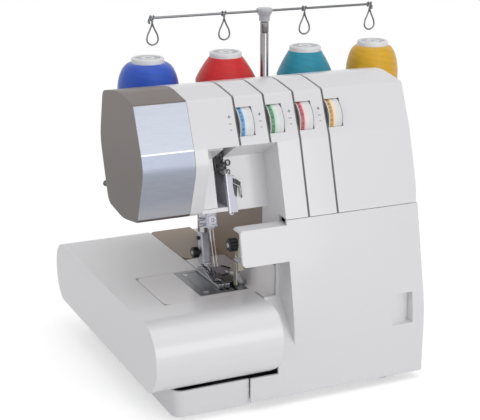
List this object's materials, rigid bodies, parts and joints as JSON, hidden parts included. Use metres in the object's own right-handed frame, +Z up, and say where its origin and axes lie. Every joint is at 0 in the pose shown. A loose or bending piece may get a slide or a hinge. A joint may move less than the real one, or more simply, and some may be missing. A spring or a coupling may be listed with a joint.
{
  "type": "serger overlock machine",
  "caption": "Free-standing overlock sewing machine with cone thread stand, coloured tension dials, threading recess, opening looper cover and slide-off extension table.",
  "frame": {"origin": "bottom centre of the whole machine's box, on the plane of the rubber feet", "axes": "+X runs to the handwheel end, +Y to the back with the spools, +Z up; the looper cover and the tension dials face -Y"},
  "size_m": [0.3592, 0.304, 0.3475],
  "materials": {
    "white_cover": "smooth white moulded cover",
    "white_table": "smooth warm white moulding",
    "taupe_plastic": "satin taupe moulding",
    "taupe_cap": "satin dark taupe moulding",
    "silver_trim": "fine silver lacquer",
    "rubber": "matt moulded rubber",
    "cast_frame": "die-cast, tumbled",
    "plate_steel": "brushed",
    "bright_steel": "polished",
    "clamp_steel": "nickel plated, turned",
    "wire": "bright wire",
    "black_plastic": "black moulded",
    "grey_plastic": "pale moulded",
    "blue_dial": "moulded, coloured band",
    "green_dial": "moulded, coloured band",
    "red_dial": "moulded, coloured band",
    "tan_dial": "moulded, coloured band",
    "blue_thread": "cross-wound thread",
    "red_thread": "cross-wound thread",
    "teal_thread": "cross-wound thread",
    "gold_thread": "cross-wound thread",
    "bronze": "sintered",
    "motor_black": "black enamel",
    "pulley": "turned",
    "belt": "cord-backed rubber"
  },
  "bodies": {
    "machine": {"base_pan": "white_cover", "rubber_feet": "rubber", "chassis_frame": "cast_frame", "free_arm_cover": "white_cover", "needle_plate": "plate_steel", "needle_plate_screws": "bright_steel", "throat_liner": "taupe_plastic", "rear_cover": "white_cover", "belt_cover": "white_cover", "upper_cover": "white_cover", "head_end_cap": "taupe_cap", "head_trim": "silver_trim", "spool_tray": "grey_plastic", "spool_pins": "grey_plastic", "antenna_socket": "bright_steel", "tension_discs": "clamp_steel", "presser_spring": "clamp_steel", "thread_guides": "black_plastic", "thread_plate": "bright_steel", "lower_knife": "bright_steel", "shaft_bushes": "bronze", "motor": "motor_black", "drive_belt": "belt", "power_inlet": "black_plastic"},
    "cover_rod": {"looper_cover_rod": "bright_steel"},
    "cover": {"looper_cover": "white_cover"},
    "table": {"extension_table": "white_table"},
    "dial_1": {"tension_dial_1": "blue_dial"},
    "dial_2": {"tension_dial_2": "green_dial"},
    "dial_3": {"tension_dial_3": "red_dial"},
    "dial_4": {"tension_dial_4": "tan_dial"},
    "drive": {"main_shaft": "bright_steel", "shaft_pulley": "pulley", "handwheel": "grey_plastic"},
    "motor_rotor": {"motor_pulley": "pulley"},
    "needle_drive": {"needle_bar": "bright_steel", "needle_clamp": "clamp_steel", "needles": "bright_steel"},
    "take_up": {"take_up_lever": "black_plastic"},
    "looper_upper": {"upper_looper": "bright_steel"},
    "looper_lower": {"lower_looper": "bright_steel"},
    "feed": {"feed_dog": "clamp_steel"},
    "knife": {"upper_knife": "clamp_steel", "knife_knob": "black_plastic"},
    "lifter": {"presser_lifter": "black_plastic"},
    "presser": {"presser_bar": "bright_steel", "presser_foot": "clamp_steel", "foot_screws": "black_plastic"},
    "pressure": {"pressure_screw": "clamp_steel"},
    "spool_1": {"spool_blue": "blue_thread"},
    "spool_2": {"spool_red": "red_thread"},
    "spool_3": {"spool_teal": "teal_thread"},
    "spool_4": {"spool_gold": "gold_thread"},
    "antenna_middle": {"antenna_tube": "bright_steel"},
    "antenna_inner": {"antenna_rod": "bright_steel"},
    "antenna_head": {"antenna_cap": "clamp_steel", "antenna_bar": "wire", "thread_eyelets": "wire"},
    "length_dial": {"stitch_length_dial": "grey_plastic"},
    "switch": {"power_switch": "black_plastic"}
  },
  "joints": [
    {"name": "looper_cover_slide", "type": "slide", "parent": "machine", "child": "cover_rod", "axis": [1, 0, 0], "range_m": [0, 0.008]},
    {"name": "looper_cover_hinge", "type": "hinge", "parent": "cover_rod", "child": "cover", "pos_m": [0.03365, -0.13215, 0.0135], "axis": [1, 0, 0], "range_deg": [0, 75]},
    {"name": "table_slide", "type": "slide", "parent": "machine", "child": "table", "axis": [-1, 0, 0], "range_m": [0, 0.13]},
    {"name": "tension_dial_1_turn", "type": "hinge", "parent": "machine", "child": "dial_1", "pos_m": [-0.06485, -0.07445, 0.2598], "axis": [1, 0, 0], "range_deg": [-140, 140]},
    {"name": "tension_dial_2_turn", "type": "hinge", "parent": "machine", "child": "dial_2", "pos_m": [-0.03435, -0.07445, 0.2598], "axis": [1, 0, 0], "range_deg": [-140, 140]},
    {"name": "tension_dial_3_turn", "type": "hinge", "parent": "machine", "child": "dial_3", "pos_m": [-0.00385, -0.07445, 0.2598], "axis": [1, 0, 0], "range_deg": [-140, 140]},
    {"name": "tension_dial_4_turn", "type": "hinge", "parent": "machine", "child": "dial_4", "pos_m": [0.02665, -0.07445, 0.2598], "axis": [1, 0, 0], "range_deg": [-140, 140]},
    {"name": "handwheel_turn", "type": "hinge", "parent": "machine", "child": "drive", "pos_m": [0.02365, -0.01565, 0.07], "axis": [1, 0, 0], "continuous": true},
    {"name": "motor_turn", "type": "hinge", "parent": "machine", "child": "motor_rotor", "pos_m": [0.10365, 0.06135, 0.07], "axis": [1, 0, 0], "continuous": true},
    {"name": "needle_bar_slide", "type": "slide", "parent": "machine", "child": "needle_drive", "axis": [0, -0.2874, -0.9578], "range_m": [0, 0.024]},
    {"name": "take_up_swing", "type": "hinge", "parent": "machine", "child": "take_up", "pos_m": [-0.07635, -0.02965, 0.24], "axis": [1, 0, 0], "range_deg": [0, 22]},
    {"name": "upper_looper_slide", "type": "slide", "parent": "machine", "child": "looper_upper", "axis": [0.5, 0, -0.866], "range_m": [0, 0.014]},
    {"name": "lower_looper_swing", "type": "hinge", "parent": "machine", "child": "looper_lower", "pos_m": [-0.04435, -0.04365, 0.048], "axis": [0, -1, 0], "range_deg": [0, 14]},
    {"name": "feed_slide", "type": "slide", "parent": "machine", "child": "feed", "axis": [0, 1, 0], "range_m": [0, 0.004]},
    {"name": "upper_knife_slide", "type": "slide", "parent": "machine", "child": "knife", "axis": [0, 0, -1], "range_m": [0, 0.005]},
    {"name": "presser_lifter_turn", "type": "hinge", "parent": "machine", "child": "lifter", "pos_m": [-0.07135, -0.00015, 0.208], "axis": [1, 0, 0], "range_deg": [0, 70]},
    {"name": "presser_bar_slide", "type": "slide", "parent": "machine", "child": "presser", "axis": [0, 0.1191, 0.9929], "range_m": [0, 0.006], "deforming": ["presser_spring"]},
    {"name": "pressure_screw_turn_down", "type": "slide", "parent": "machine", "child": "pressure", "axis": [0, -0.1191, -0.9929], "range_m": [0, 0.003]},
    {"name": "spool_blue_spin", "type": "hinge", "parent": "machine", "child": "spool_1", "pos_m": [-0.10625, 0.05235, 0.25], "axis": [0, 0, 1], "continuous": true},
    {"name": "spool_red_spin", "type": "hinge", "parent": "machine", "child": "spool_2", "pos_m": [-0.02185, 0.05235, 0.25], "axis": [0, 0, 1], "continuous": true},
    {"name": "spool_teal_spin", "type": "hinge", "parent": "machine", "child": "spool_3", "pos_m": [0.06885, 0.05235, 0.25], "axis": [0, 0, 1], "continuous": true},
    {"name": "spool_gold_spin", "type": "hinge", "parent": "machine", "child": "spool_4", "pos_m": [0.14995, 0.05235, 0.25], "axis": [0, 0, 1], "continuous": true},
    {"name": "antenna_middle_slide", "type": "slide", "parent": "machine", "child": "antenna_middle", "axis": [0, 0, 1], "range_m": [0, 0.11]},
    {"name": "antenna_inner_slide", "type": "slide", "parent": "antenna_middle", "child": "antenna_inner", "axis": [0, 0, 1], "range_m": [0, 0.1]},
    {"name": "antenna_head_swivel", "type": "hinge", "parent": "antenna_inner", "child": "antenna_head", "pos_m": [0.02165, 0.05235, 0.338], "axis": [0, 0, 1], "range_deg": [-90, 90]},
    {"name": "stitch_length_turn", "type": "hinge", "parent": "machine", "child": "length_dial", "pos_m": [0.14365, 0.04135, 0.13], "axis": [1, 0, 0], "range_deg": [0, 300]},
    {"name": "power_switch_rock", "type": "hinge", "parent": "machine", "child": "switch", "pos_m": [0.13365, 0.06635, 0.06], "axis": [0, 1, 0], "range_deg": [0, 16]}
  ],
  "couplings": [
    {"joint": "motor_turn", "follows": "handwheel_turn", "ratio": 3},
    {"joint": "take_up_swing", "follows": "needle_bar_slide", "rad_per_m": 15.989},
    {"joint": "upper_looper_slide", "follows": "needle_bar_slide", "ratio": 0.58},
    {"joint": "lower_looper_swing", "follows": "needle_bar_slide", "rad_per_m": 10.171},
    {"joint": "feed_slide", "follows": "needle_bar_slide", "ratio": 0.166},
    {"joint": "upper_knife_slide", "follows": "needle_bar_slide", "ratio": 0.2083},
    {"joint": "presser_lifter_turn", "follows": "presser_bar_slide", "rad_per_m": 203.57}
  ]
}
